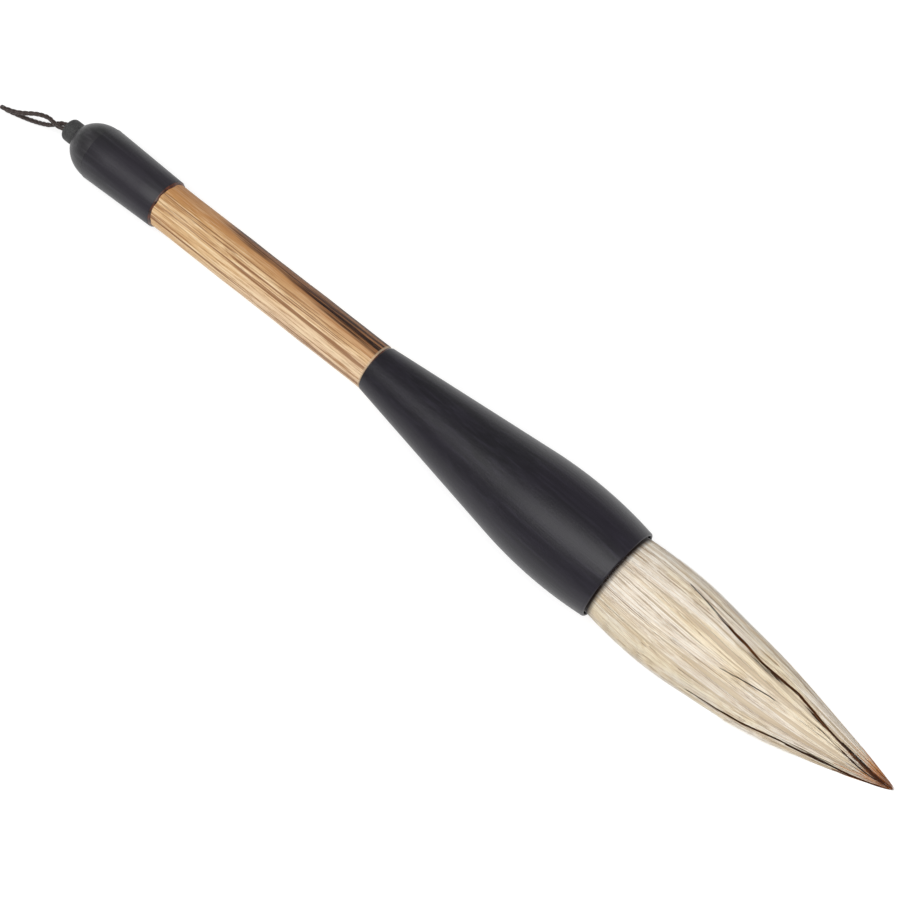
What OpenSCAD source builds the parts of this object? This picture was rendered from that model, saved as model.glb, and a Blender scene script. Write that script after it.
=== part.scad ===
// Large calligraphy brush with a flared horn ferrule, a capped wooden shaft and a hanging loop.
// It lies on its side, on the belly of the ferrule and the shoulder of the cap, hair towards +X.
// The origin is on the surface that it lies on, under the middle of the brush.

/* [Shaft] */
// Diameter of the bare wooden shaft
shaft_d = 13.8; // [12:0.1:17]
// Bare length between the cap and the ferrule
shaft_len = 76.5; // [50:0.5:150]
// Bevel on the two shoulders of the shaft
shaft_bevel = 0.35; // [0.1:0.05:0.6]
// Width of the shoulder round the tenon that enters the cap
cap_tenon_shoulder = 2.1; // [1.5:0.1:3]
// Length of the tenon that enters the cap
cap_tenon_len = 10; // [6:0.5:12]
// Width of the shoulder round the tenon that enters the ferrule
ferrule_tenon_shoulder = 2.4; // [1.5:0.1:3]
// Length of the tenon that enters the ferrule
ferrule_tenon_len = 22; // [12:0.5:30]
// Angle that the shaft leans off the ferrule's axis, in the plane of the table
shaft_lean = 2.6; // [0:0.1:4]

/* [Cap] */
// Length of the sleeve over the end of the shaft
sleeve_len = 24.6; // [19:0.1:32]
// Wall of the sleeve at its mouth
sleeve_lip = 0.55; // [0.3:0.05:1.2]
// How far the sleeve swells from its mouth to its shoulder
sleeve_swell = 0.75; // [0.3:0.05:2]
// How far the end of the shaft sits inside the mouth of the sleeve
sleeve_seat = 3; // [1:0.5:4]
// Wall of the sleeve round the crown's spigot
sleeve_wall = 2.3; // [1.5:0.1:2.8]
// Height of the domed crown above the sleeve
crown_len = 8.7; // [7.2:0.1:14]
// How far the crown's edge stands in from the sleeve's shoulder
crown_step = 0.15; // [0.05:0.05:0.4]
// Length of the spigot under the crown
spigot_len = 5; // [3:0.5:6]
// Wall of the spigot round the pocket for the knot
spigot_wall = 2.1; // [1:0.1:2.4]
// Thickness of the crown between the finial's peg and the pocket
crown_web = 1.9; // [0.8:0.1:3]

/* [Finial] */
// Diameter of the button on top of the crown
finial_d = 6.8; // [6.2:0.1:9]
// Height of the button above the crown
finial_len = 4.2; // [3:0.1:9]
// Rounding of the button's top edge
finial_round = 1.1; // [0.4:0.1:1.3]
// Wall of the button's peg round the hole for the cord
peg_wall = 0.7; // [0.5:0.1:1]
// Length of the peg in the crown
peg_len = 4.5; // [2:0.5:5]

/* [Loop] */
// Diameter of the waxed cord
cord_d = 1.2; // [0.8:0.1:1.4]

/* [Ferrule] */
// Length of the flared ferrule
ferrule_len = 84.8; // [70:0.1:110]
// How far the ferrule's narrow end stands out from the shaft
neck_step = 0.1; // [0:0.05:1]
// Diameter of the ferrule's belly
belly_d = 29.9; // [24:0.1:36]
// Distance from the rim back to the belly
belly_back = 17.3; // [13:0.1:22]
// Radius of the belly's curve along the ferrule
belly_round = 120; // [100:5:200]
// Rounding of the ferrule's rim
rim_round = 0.5; // [0.2:0.05:0.7]
// Wall of the cup at the rim
cup_wall = 0.8; // [0.75:0.05:2]
// Depth of the cup that holds the hair
cup_depth = 28; // [23:0.5:34]
// Width of the pilot hole from the tenon's socket to the cup
pilot_d = 4; // [2:0.5:6]

/* [Hair] */
// Length of the hair beyond the ferrule's rim
hair_out = 85.6; // [60:0.5:110]
// How far the tuft swells past the width of the cup
tuft_swell = 0.2; // [0:0.05:0.5]
// Distance from the rim to the fullest part of the tuft
tuft_full_at = 14; // [8:0.5:30]
// Thickness of the layer of cover hair
cover_t = 4; // [2:0.1:5]
// How far short of the tip the cover hair ends
cover_short = 5; // [3:0.5:10]
// Thickness of the layer of lining hair
lining_t = 4.5; // [2:0.1:5]
// How far short of the tip the lining hair ends
lining_short = 28; // [15:0.5:40]
// Angle that the tuft leans off the ferrule's axis, in the plane of the table
tuft_lean = 2; // [0:0.5:4]
// Thickness of the resin plug behind the roots
resin_t = 4; // [2:0.5:6]
// Thickness of the binding thread
thread_d = 0.6; // [0.4:0.1:0.8]
// Number of turns of binding thread
thread_turns = 7; // [3:1:10]

/* [Fits] */
// Gap all round a glued tenon, peg or spigot
glue_gap = 0.05; // [0.02:0.01:0.15]
// Thickness of the glue line at a butted joint
glue_line = 0.3; // [0.1:0.05:0.5]
// Gap all round the two strands of cord in their hole
cord_gap = 0.3; // [0.1:0.05:0.4]
// Gap all round the knot in its pocket
knot_gap = 1.2; // [0.8:0.1:1.5]
// Gap between the binding thread and the wall of the cup
thread_gap = 0.2; // [0.05:0.05:0.5]
// Gap between the hair that bends and what it bends against
bend_gap = 0.3; // [0.2:0.05:0.5]

/* [Hidden] */
round_fn = 96;
arc_steps = 16;
cut_past = 1;

// Widths of what fits together in the shaft and the cap
cap_tenon_d = shaft_d - 2 * cap_tenon_shoulder;
ferrule_tenon_d = shaft_d - 2 * ferrule_tenon_shoulder;
mouth_d = shaft_d + 2 * (glue_gap + sleeve_lip);
shoulder_d = mouth_d + 2 * sleeve_swell;
spigot_d = shoulder_d - 2 * sleeve_wall;
pocket_d = spigot_d - 2 * spigot_wall;
knot_d = pocket_d - 2 * knot_gap;
strand_gap = 0.2;
strand_off = (cord_d + strand_gap) / 2;
strand_turn = 16;
cord_hole_d = 2 * strand_off + cord_d + 2 * cord_gap;
peg_d = cord_hole_d + 2 * peg_wall;

// Distances back along the shaft from the ferrule's narrow end, which the shaft's shoulder
// clears all round although it leans
shoulder_r = shaft_d / 2 - shaft_bevel;
neck_x = -glue_line / 4 - shoulder_r * sin(shaft_lean);
mouth_x = neck_x - shaft_len;
shaft_end_x = mouth_x - sleeve_seat;
shoulder_x = mouth_x - sleeve_len;
crown_x = shoulder_x - crown_len;
finial_x = crown_x - finial_len;
peg_x = crown_x + peg_len;
pocket_x = peg_x + crown_web;
knot_x = pocket_x + glue_gap + knot_d / 2;
// The crown is part of an ellipse that meets the finial at the finial's radius
crown_r = shoulder_d / 2 - crown_step;
crown_reach = crown_len / sqrt(1 - pow(finial_d / 2 / crown_r, 2));

// The ferrule's outside is a straight flare from its neck that runs into the belly's curve
neck_r = shaft_d / 2 + neck_step;
belly_x = ferrule_len - belly_back;
belly_mid = [belly_x, belly_d / 2 - belly_round];
flare = asin(belly_round / norm(belly_mid - [0, neck_r]))
      + atan2(belly_mid[1] - neck_r, belly_x);
rim_fall = asin((belly_back - rim_round) / (belly_round - rim_round));
rim_mid = belly_mid + (belly_round - rim_round) * [sin(rim_fall), cos(rim_fall)];

// Distances along the ferrule from its narrow end, and widths in its cup
cup_r = rim_mid[1] + rim_round - cup_wall;
cup_floor_x = ferrule_len - cup_depth;
root_x = cup_floor_x + resin_t;
root_r = cup_r - thread_gap - thread_d;

// The tuft bends about a point a little way out of the cup, where its end is a ball
bend_out = 4;
bend_x = ferrule_len + bend_out;
bend_r = norm([cup_r - bend_gap, bend_out]);
tuft_r = cup_r + tuft_swell;
tuft_x = ferrule_len + tuft_full_at;
tip_x = ferrule_len + hair_out;
cover_end_x = tip_x - cover_short;
lining_end_x = tip_x - lining_short;
ogive_r = (pow(tip_x - tuft_x, 2) + pow(tuft_r, 2)) / (2 * tuft_r);

// The brush lies on the line that touches the cap's shoulder and the ferrule's belly
touch = belly_mid - [shoulder_x * cos(shaft_lean), shoulder_d / 2];
pitch = atan2(touch[1], touch[0]) + asin(belly_round / norm(touch));
axis_z = belly_round + belly_mid[1] * cos(pitch) - belly_mid[0] * sin(pitch);
hair_reach = (bend_x + (tip_x - bend_x) * cos(tuft_lean)) * cos(pitch);
cap_reach = finial_x * cos(shaft_lean) * cos(pitch)
          - (finial_d / 2 - finial_round) * norm([sin(shaft_lean), sin(pitch)]);
axis_x = -(hair_reach + cap_reach) / 2;

// Middle of the button's end, where the loop comes out
button_end = [axis_x + finial_x * cos(shaft_lean) * cos(pitch), finial_x * sin(shaft_lean),
              axis_z + finial_x * cos(shaft_lean) * sin(pitch)];

// The loop's course from there down to the table, round and back: how far along, how far across,
// and how high above where a cord lies, as a share of the button's height
cord_sides = 8;
loop_course = [
    [-1.5, 0.2, 1.02], [-2.8, -0.2, 0.94], [-3.9, -0.8, 0.84], [-4.9, -1.6, 0.74],
    [-6.2, -2.4, 0.63], [-7.9, -3.0, 0.51], [-9.9, -3.5, 0.36], [-11.9, -4.0, 0.24],
    [-14.2, -4.5, 0.11], [-16.6, -5.1, 0.04], [-19.1, -5.8, 0.01], [-20.5, -6.4, 0.08],
    [-21.1, -6.9, 0.27], [-20.8, -7.3, 0.46], [-19.7, -7.5, 0.63], [-18.2, -7.2, 0.72],
    [-16.6, -6.6, 0.73], [-14.9, -5.7, 0.74], [-13.1, -4.5, 0.77], [-11.0, -3.0, 0.81],
    [-8.8, -2.0, 0.88], [-6.7, -1.5, 0.95], [-4.9, -1.6, 1.01], [-3.3, -1.7, 1.02],
    [-2.0, -1.4, 0.98]];
loop_route = [for (p = loop_course)
    [button_end[0] + p[0], button_end[1] + p[1],
     cord_d / 2 + p[2] * (button_end[2] - cord_d / 2)]];

function unit(v) = v / norm(v);

// The way that a route runs at one of its points
function way(route, i) = unit(route[min(i + 1, len(route) - 1)] - route[max(i - 1, 0)]);

// A vector out of the side of the route at each point, which turns no more than the route does
function square_to(v, t) = unit(v - (v * t) * t);
function sides_of(route) =
    [for (i = 0, s = square_to([0, 0, 1], way(route, 0));
          i < len(route);
          i = i + 1, s = i < len(route) ? square_to(s, way(route, i)) : s) s];

// Outline of the ferrule's outside, as [distance, radius]
function ferrule_outline() = concat(
    [[0, 0], [0, neck_r]],
    [for (i = [0 : arc_steps]) let (a = -flare + (rim_fall + flare) * i / arc_steps)
        belly_mid + belly_round * [sin(a), cos(a)]],
    [for (i = [1 : 6]) let (a = rim_fall + (90 - rim_fall) * i / 6)
        rim_mid + rim_round * [sin(a), cos(a)]],
    [[ferrule_len, 0]]);

// Outline of the whole tuft: the ball at its back, the swell, and the pointed front
function tuft_outline() = concat(
    [for (i = [0 : arc_steps]) let (a = 90 * i / arc_steps)
        [bend_x, 0] + bend_r * [-cos(a), sin(a)]],
    [for (i = [1 : arc_steps]) let (x = tuft_x + (tip_x - tuft_x) * i / arc_steps)
        [x, sqrt(pow(ogive_r, 2) - pow(x - tuft_x, 2)) - ogive_r + tuft_r]]);

// Outline of a layer inside the tuft, from behind its ball to the point where the layer ends
function layer_outline(r, end_x) = concat(
    [[bend_x - bend_r - cut_past, 0], [bend_x - bend_r - cut_past, r]],
    [for (i = [0 : arc_steps]) let (t = i / arc_steps)
        [bend_x + (end_x - bend_x) * t, r * (1 - pow(t, 2))]]);

// Lays the brush down on its belly and its cap
module lay_down() {
    translate([axis_x, 0, axis_z]) rotate([0, -pitch, 0]) children();
}

// What is on the shaft leans with it, about the ferrule's narrow end
module on_shaft() {
    lay_down() rotate([0, 0, shaft_lean]) children();
}

// What bends with the tuft leans with it, about the middle of its ball
module on_tuft() {
    lay_down() translate([bend_x, 0, 0]) rotate([0, 0, tuft_lean]) translate([-bend_x, 0, 0])
        children();
}

// A solid turned about the X axis from an outline of [distance, radius] points
module turned(outline) {
    rotate([0, 90, 0]) rotate_extrude($fn = round_fn) polygon([for (p = outline) [p[1], p[0]]]);
}

// A round bar along X from one distance to another
module bar(from, to, d) {
    translate([from, 0, 0]) rotate([0, 90, 0]) cylinder(h = to - from, d = d, $fn = round_fn);
}

// The loop outside the finial, as one tube along its route
module hanging_loop() color("#3d2d27") {
    count = len(loop_route);
    sides = sides_of(loop_route);
    rings = [for (i = [0 : count - 1]) let (s = sides[i], t = cross(way(loop_route, i), s))
                for (k = [0 : cord_sides - 1]) let (a = 360 * k / cord_sides)
                    loop_route[i] + cord_d / 2 * (s * cos(a) + t * sin(a))];
    walls = [for (i = [0 : count - 2]) for (k = [0 : cord_sides - 1])
                let (a = i * cord_sides, n = (k + 1) % cord_sides)
                    [a + k, a + cord_sides + k, a + cord_sides + n, a + n]];
    ends = [[for (k = [0 : cord_sides - 1]) k],
            [for (k = [cord_sides - 1 : -1 : 0]) (count - 1) * cord_sides + k]];
    polyhedron(points = rings, faces = concat(walls, ends));
}

// The knot that holds the loop in the cap, with the two strands that run up to the finial's top
module loop_knot() color("#3d2d27") on_shaft() {
    translate([knot_x, 0, 0]) sphere(d = knot_d, $fn = round_fn);
    for (side = [-1, 1]) rotate([strand_turn, 0, 0]) translate([0, side * strand_off, 0])
        bar(finial_x, knot_x, cord_d);
}

// The button that the loop comes out of, pegged into the crown
module finial() color("#4b4b4d") on_shaft() difference() {
    turned(concat(
        [[peg_x, 0], [peg_x, peg_d / 2], [crown_x, peg_d / 2], [crown_x, finial_d / 2]],
        [for (i = [0 : 6]) [finial_x + finial_round, finial_d / 2 - finial_round]
            + finial_round * [-sin(15 * i), cos(15 * i)]],
        [[finial_x, 0]]));
    bar(finial_x - cut_past, peg_x + cut_past, cord_hole_d);
}

// The domed head of the cap, with a pocket for the knot and a spigot that enters the sleeve
module cap_crown() color("#343338") on_shaft() difference() {
    union() {
        turned(concat(
            [[shoulder_x, 0]],
            [for (i = [0 : arc_steps]) let (x = crown_len * i / arc_steps)
                [shoulder_x - x, crown_r * sqrt(1 - pow(x / crown_reach, 2))]],
            [[crown_x, 0]]));
        bar(shoulder_x - cut_past, shoulder_x + spigot_len, spigot_d);
    }
    bar(pocket_x, shoulder_x + spigot_len + cut_past, pocket_d);
    bar(crown_x - cut_past, peg_x + glue_gap, peg_d + 2 * glue_gap);
    bar(crown_x - cut_past, pocket_x + cut_past, cord_hole_d);
}

// The tapered sleeve of the cap, bored for the crown's spigot, the shaft's tenon and its end
module cap_sleeve() color("#2e2e32") on_shaft() difference() {
    turned([[shoulder_x, 0], [shoulder_x, shoulder_d / 2], [mouth_x, mouth_d / 2], [mouth_x, 0]]);
    bar(shaft_end_x - glue_gap, mouth_x + cut_past, shaft_d + 2 * glue_gap);
    bar(shoulder_x - cut_past, mouth_x, cap_tenon_d + 2 * glue_gap);
    bar(shoulder_x - cut_past, shoulder_x + spigot_len + glue_gap, spigot_d + 2 * glue_gap);
}

// The bead of dark glue round the shaft at the mouth of the sleeve
module cap_glue() color("#2a1710") on_shaft() difference() {
    turned([[mouth_x, 0], [mouth_x, (shaft_d + sleeve_lip) / 2 + glue_gap],
            [mouth_x + glue_line, shaft_d / 2 + glue_gap], [mouth_x + glue_line, 0]]);
    bar(mouth_x - cut_past, mouth_x + glue_line + cut_past, shaft_d);
}

// The bare wooden shaft with a tenon at each end
module shaft() color("#cf9a5c") on_shaft() {
    turned([[shaft_end_x, 0], [shaft_end_x, shoulder_r],
            [shaft_end_x + shaft_bevel, shaft_d / 2], [neck_x - shaft_bevel, shaft_d / 2],
            [neck_x, shoulder_r], [neck_x, 0]]);
    bar(shaft_end_x - cap_tenon_len, shaft_end_x + cut_past, cap_tenon_d);
    bar(neck_x - cut_past, ferrule_tenon_len, ferrule_tenon_d);
}

// The wedge of glue between the leaning shaft's shoulder and the ferrule's narrow end
module ferrule_glue() color("#2a1710") difference() {
    on_shaft() bar(neck_x, -neck_x, 2 * shoulder_r);
    on_shaft() bar(neck_x - cut_past, cut_past, ferrule_tenon_d + 2 * glue_gap);
    lay_down() bar(0, shaft_d, 2 * shaft_d);
}

// The flared ferrule, with a socket for the tenon at its neck and a cup for the hair
module ferrule() color("#2b2a2e") {
    difference() {
        lay_down() turned(ferrule_outline());
        lay_down() bar(cup_floor_x, ferrule_len + cut_past, 2 * cup_r);
        lay_down() bar(ferrule_tenon_len, cup_floor_x + cut_past, pilot_d);
        on_shaft() bar(-cut_past, ferrule_tenon_len + glue_line, ferrule_tenon_d + 2 * glue_gap);
    }
}

// The plug of resin that seals the roots of the hair to the floor of the cup
module root_resin() color("#7a4a1e") lay_down() bar(cup_floor_x, root_x, 2 * cup_r);

// The turns of thread that bind the roots
module root_thread() color("#e8dcc0") lay_down()
    for (i = [0 : thread_turns - 1]) translate([root_x + (i + 0.5) * thread_d, 0, 0])
        rotate([0, 90, 0]) rotate_extrude($fn = round_fn)
            translate([root_r + thread_d / 2, 0]) circle(d = thread_d, $fn = 24);

// The bound roots of the hair, hollowed at the front for the ball of the tuft
module root_bundle() color("#d9cbb0") lay_down() difference() {
    bar(root_x, ferrule_len - bend_gap, 2 * root_r);
    translate([bend_x, 0, 0]) sphere(r = bend_r + bend_gap, $fn = round_fn);
}

// The stiff brown core of hair, whose end is the brush's point
module core_hair() color("#6e4423") on_tuft() union() {
    intersection() {
        turned(tuft_outline());
        turned(layer_outline(tuft_r - cover_t - lining_t, tip_x));
    }
    intersection() {
        turned(tuft_outline());
        bar(cover_end_x, tip_x + cut_past, 2 * tuft_r);
    }
}

// The soft lining hair that fills out the belly of the tuft
module lining_hair() color("#cbb286") on_tuft() difference() {
    intersection() {
        turned(tuft_outline());
        turned(layer_outline(tuft_r - cover_t, lining_end_x));
    }
    turned(layer_outline(tuft_r - cover_t - lining_t, tip_x));
}

// The long pale cover hair round the outside of the tuft
module cover_hair() color("#e6dcc6") on_tuft() difference() {
    turned(tuft_outline());
    turned(layer_outline(tuft_r - cover_t, lining_end_x));
    turned(layer_outline(tuft_r - cover_t - lining_t, tip_x));
    bar(cover_end_x, tip_x + cut_past, 2 * tuft_r);
}

hanging_loop();
loop_knot();
finial();
cap_crown();
cap_sleeve();
cap_glue();
shaft();
ferrule_glue();
ferrule();
root_resin();
root_thread();
root_bundle();
core_hair();
lining_hair();
cover_hair();
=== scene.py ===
import math

import bpy
import numpy as np
from mathutils import Matrix, Vector


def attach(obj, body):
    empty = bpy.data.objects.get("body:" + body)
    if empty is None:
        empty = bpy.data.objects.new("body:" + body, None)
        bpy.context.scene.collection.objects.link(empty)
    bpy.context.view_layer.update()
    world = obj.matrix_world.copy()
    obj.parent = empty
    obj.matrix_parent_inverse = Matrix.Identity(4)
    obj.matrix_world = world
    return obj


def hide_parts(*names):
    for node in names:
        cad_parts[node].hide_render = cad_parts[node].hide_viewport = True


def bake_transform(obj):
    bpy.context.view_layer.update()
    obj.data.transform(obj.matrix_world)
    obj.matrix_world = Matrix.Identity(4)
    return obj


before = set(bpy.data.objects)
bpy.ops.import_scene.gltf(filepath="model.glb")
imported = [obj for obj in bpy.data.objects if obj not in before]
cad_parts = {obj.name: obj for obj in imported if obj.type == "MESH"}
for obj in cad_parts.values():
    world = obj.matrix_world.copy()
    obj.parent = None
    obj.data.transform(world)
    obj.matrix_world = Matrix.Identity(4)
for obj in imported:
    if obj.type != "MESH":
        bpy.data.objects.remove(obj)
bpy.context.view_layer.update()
mm = 0.001

# The brush lies on a table and is looked down on from its near side, a little from the hair's end.
# The camera is level, without shift or blur, and half a metre away.
look_at = Vector((1.7, -3.4, 12.0)) * mm
look_turn, look_rise, look_reach = math.radians(42.7), math.radians(72.09), 0.4921
look_back = Vector((math.sin(look_turn) * math.cos(look_rise),
                    -math.cos(look_turn) * math.cos(look_rise), math.sin(look_rise)))
bpy.ops.object.camera_add(location=look_at + look_back * look_reach)
camera = bpy.context.object
camera.name = "table_camera"
camera.rotation_euler = (-look_back).to_track_quat("-Z", "Y").to_euler()
camera.data.lens = 74.98
bpy.context.scene.camera = camera

# The hanging loop: cotton cord of two plies, twisted, dyed dark brown and waxed until it holds its
# shape. Both ends go into the hole of the button. It drops to the table, folds over and comes back.
cord_width = 1.2 * mm
strand_off, strand_turn = 0.7 * mm, math.radians(16)
cord_lay = 3.4 * mm
ferrule_pitch, shaft_lean = math.radians(2.305), math.radians(2.6)
neck_at = Vector((-27.956, 0, 12.320)) * mm
ferrule_place = Matrix.Translation(neck_at) @ Matrix.Rotation(-ferrule_pitch, 4, "Y")
shaft_place = ferrule_place @ Matrix.Rotation(shaft_lean, 4, "Z")
button_end = -114.372 * mm
button_middle = Vector((-142.117, -5.188, 7.725))
loop_course = [
    (-1.5, 0.2, 1.02), (-2.8, -0.2, 0.94), (-3.9, -0.8, 0.84), (-4.9, -1.6, 0.74),
    (-6.2, -2.4, 0.63), (-7.9, -3.0, 0.51), (-9.9, -3.5, 0.36), (-11.9, -4.0, 0.24),
    (-14.2, -4.5, 0.11), (-16.6, -5.1, 0.04), (-19.1, -5.8, 0.01), (-20.5, -6.4, 0.08),
    (-21.1, -6.9, 0.27), (-20.8, -7.3, 0.46), (-19.7, -7.5, 0.63), (-18.2, -7.2, 0.72),
    (-16.6, -6.6, 0.73), (-14.9, -5.7, 0.74), (-13.1, -4.5, 0.77), (-11.0, -3.0, 0.81),
    (-8.8, -2.0, 0.88), (-6.7, -1.5, 0.95), (-4.9, -1.6, 1.01), (-3.3, -1.7, 1.02),
    (-2.0, -1.4, 0.98)]
cord_lie = cord_width / mm / 2
loop_route = [(button_middle.x + x, button_middle.y + y,
               cord_lie + share * (button_middle.z - cord_lie)) for x, y, share in loop_course]


def strand_point(side, along):
    """A point on one of the two strands where they run straight in the button and the cap."""
    return shaft_place @ Vector((along, side * strand_off * math.cos(strand_turn),
                                 side * strand_off * math.sin(strand_turn)))


def smooth_route(points, step):
    """A curve through the points, as points a step apart."""
    p = np.array(points, float)
    p = np.vstack([2 * p[0] - p[1], p, 2 * p[-1] - p[-2]])
    pieces_a_span = 24
    t = np.linspace(0, 1, pieces_a_span, endpoint=False)[:, None]
    curve = [0.5 * (2 * b + (c - a) * t + (2 * a - 5 * b + 4 * c - d) * t ** 2
                    + (3 * b - a - 3 * c + d) * t ** 3)
             for a, b, c, d in zip(p, p[1:], p[2:], p[3:])]
    curve = np.vstack(curve + [p[-2:-1]])
    run = np.concatenate([[0], np.cumsum(np.linalg.norm(np.diff(curve, axis=0), axis=1))])
    stops = np.linspace(0, run[-1], max(2, int(run[-1] / step) + 1))
    return np.stack([np.interp(stops, run, curve[:, k]) for k in range(curve.shape[1])], axis=1)


def twisted_cord(name, route, width, lay, sides=20):
    """A two-ply cord along a route: each ring is a waisted oval, turned a little from the last."""
    run = np.concatenate([[0], np.cumsum(np.linalg.norm(np.diff(route, axis=0), axis=1))])
    ways = np.gradient(route, axis=0)
    ways /= np.linalg.norm(ways, axis=1)[:, None]
    round_ring = 2 * np.pi * np.arange(sides) / sides
    waist = 0.80
    reach = width / 2 * (waist + (1 - waist) * np.abs(np.cos(round_ring)) ** 0.7)
    up, points = np.array([0.0, 0.0, 1.0]), []
    for at, way, gone in zip(route, ways, run):
        up = up - way * (up @ way)
        up /= np.linalg.norm(up)
        turn = round_ring + 2 * np.pi * gone / lay
        points.append(at + reach[:, None] * (up * np.cos(turn)[:, None]
                                             + np.cross(way, up) * np.sin(turn)[:, None]))
    rings = len(route)
    faces = [(i * sides + k, i * sides + (k + 1) % sides, (i + 1) * sides + (k + 1) % sides,
              (i + 1) * sides + k) for i in range(rings - 1) for k in range(sides)]
    faces += [tuple(range(sides - 1, -1, -1)), tuple((rings - 1) * sides + k for k in range(sides))]
    mesh = bpy.data.meshes.new(name)
    mesh.from_pydata(np.vstack(points).tolist(), [], faces)
    lie = mesh.uv_layers.new(name="lie")
    for face in mesh.polygons:
        for corner, vertex in zip(face.loop_indices, face.vertices):
            k, i = vertex % sides, vertex // sides
            if k == 0 and any(v % sides == sides - 1 for v in face.vertices):
                k = sides
            lie.data[corner].uv = (k / sides, run[i] / width)
    mesh.shade_smooth()
    piece = bpy.data.objects.new(name, mesh)
    bpy.context.scene.collection.objects.link(piece)
    return piece


def new_finish(name, roughness, **sockets):
    """A material with its shader, the values that are the same all over set on the shader."""
    finish = bpy.data.materials.new(name)
    finish.use_nodes = True
    shader = finish.node_tree.nodes["Principled BSDF"]
    shader.inputs["Roughness"].default_value = roughness
    for socket, value in sockets.items():
        shader.inputs[socket.replace("_", " ")].default_value = value
    return finish.node_tree, shader


def add(tree, kind, inputs=(), **settings):
    """One shader node, with its settings, and its inputs as values or as other nodes' outputs."""
    made = tree.nodes.new("ShaderNode" + kind)
    for setting, value in settings.items():
        setattr(made, setting, value)
    for socket, value in dict(inputs).items():
        if isinstance(value, bpy.types.NodeSocket):
            tree.links.new(value, made.inputs[socket])
        else:
            made.inputs[socket].default_value = value
    return made


def laid_along(tree, place, stretch):
    """Object coordinates turned to run along a place's X, scaled by stretch."""
    where = add(tree, "TexCoord").outputs["Object"]
    turned = add(tree, "Mapping", {"Vector": where, "Location": place.to_translation(),
                                   "Rotation": place.to_euler()}, vector_type="TEXTURE")
    return add(tree, "Mapping", {"Vector": turned.outputs[0], "Scale": stretch}).outputs[0]


def speckle(tree, where, scale, detail=3.0, roughness=0.5, distortion=0.0):
    """A cloudy grey pattern."""
    return add(tree, "TexNoise", {"Vector": where, "Scale": scale, "Detail": detail,
                                  "Roughness": roughness, "Distortion": distortion}).outputs[0]


def shades(tree, share, stops):
    """Colours, or grey values, along a ramp."""
    ramp = add(tree, "ValToRGB", {"Fac": share})
    for i, (at, colour) in enumerate(stops):
        stop = ramp.color_ramp.elements[i] if i < 2 else ramp.color_ramp.elements.new(at)
        stop.position = at
        stop.color = (*colour, 1) if isinstance(colour, tuple) else (colour,) * 3 + (1,)
    return ramp.outputs[0]


def blended(tree, share, a, b, how="MIX"):
    """Two colours mixed by a share."""
    mix = add(tree, "Mix", {0: share, 6: a, 7: b}, data_type="RGBA", blend_type=how)
    return mix.outputs[2]


def sums(tree, how, *values):
    """One sum on grey values."""
    return add(tree, "Math", dict(enumerate(values)), operation=how).outputs[0]


def rough_up(tree, shader, height, distance, strength=1.0):
    """Small relief from a height."""
    bump = add(tree, "Bump", {"Height": height, "Distance": distance, "Strength": strength})
    tree.links.new(bump.outputs[0], shader.inputs["Normal"])


waxed_cord, shader = new_finish("waxed_cotton", 0.42, Sheen_Weight=0.04, Sheen_Roughness=0.4,
                                Specular_IOR_Level=0.5)
lie = add(waxed_cord, "UVMap", uv_map="lie").outputs[0]
fibres = add(waxed_cord, "Mapping", {"Vector": lie, "Scale": (22, 1.1, 1)}).outputs[0]
fibre = speckle(waxed_cord, fibres, 1.0, 4, 0.6, 0.4)
wax = speckle(waxed_cord, add(waxed_cord, "TexCoord").outputs["Object"], 900, 2)
brown = shades(waxed_cord, fibre, [(0.34, (0.009, 0.005, 0.004)), (0.55, (0.034, 0.019, 0.015)),
                                   (0.76, (0.13, 0.080, 0.068))])
waxed_cord.links.new(blended(waxed_cord, shades(waxed_cord, wax, [(0.48, 0.0), (0.72, 0.5)]),
                             brown, (0.070, 0.045, 0.038, 1)), shader.inputs["Base Color"])
waxed_cord.links.new(shades(waxed_cord, wax, [(0.35, 0.28), (0.7, 0.58)]),
                     shader.inputs["Roughness"])
rough_up(waxed_cord, shader, fibre, 0.12 * mm, 0.9)

ring_step, cord_in_mouth, fluffed = 0.14 * mm, 1.0 * mm, 1.13
loop_end = [strand_point(1, button_end + cord_in_mouth), strand_point(1, button_end)]
loop_start = [strand_point(-1, button_end), strand_point(-1, button_end + cord_in_mouth)]
loop_line = smooth_route([*loop_end, *(Vector(p) * mm for p in loop_route), *loop_start], ring_step)
hanging_loop = twisted_cord("waxed_hanging_loop", loop_line, cord_width * fluffed, cord_lay)
hanging_loop.data.materials.append(bpy.data.materials["waxed_cotton"])
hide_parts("hanging_loop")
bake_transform(hanging_loop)

# The knot that holds the loop: both ends of the cord run through the button and the crown and are
# tied together in one overhand knot, which fills most of the pocket in the crown's spigot.
knot_at, knot_reach = -101.07 * mm, 2.05 * mm
knot_turn = np.linspace(0, 2 * np.pi, 24, endpoint=False)
knot_ring = np.stack([-np.sin(3 * knot_turn) * 0.9, np.sin(knot_turn) + 2 * np.sin(2 * knot_turn),
                      np.cos(knot_turn) - 2 * np.cos(2 * knot_turn)], axis=1) * knot_reach / 3
knot_line = [shaft_place @ Vector((knot_at + p[0], p[1], p[2])) for p in knot_ring]
loop_knot = twisted_cord("loop_knot_tied", smooth_route(knot_line + knot_line[:1], ring_step),
                         cord_width, cord_lay)
strands = [twisted_cord("knot_strand", smooth_route(
    [strand_point(side, x * mm) for x in (-113.2, -111, -108, -105, -102.6, -101.6)], ring_step),
    cord_width, cord_lay) for side in (1, -1)]
bpy.ops.object.select_all(action="DESELECT")
for part in [*strands, loop_knot]:
    part.select_set(True)
bpy.context.view_layer.objects.active = loop_knot
bpy.ops.object.join()
loop_knot.data.materials.append(bpy.data.materials["waxed_cotton"])
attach(loop_knot, "root")
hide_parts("loop_knot")

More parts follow.
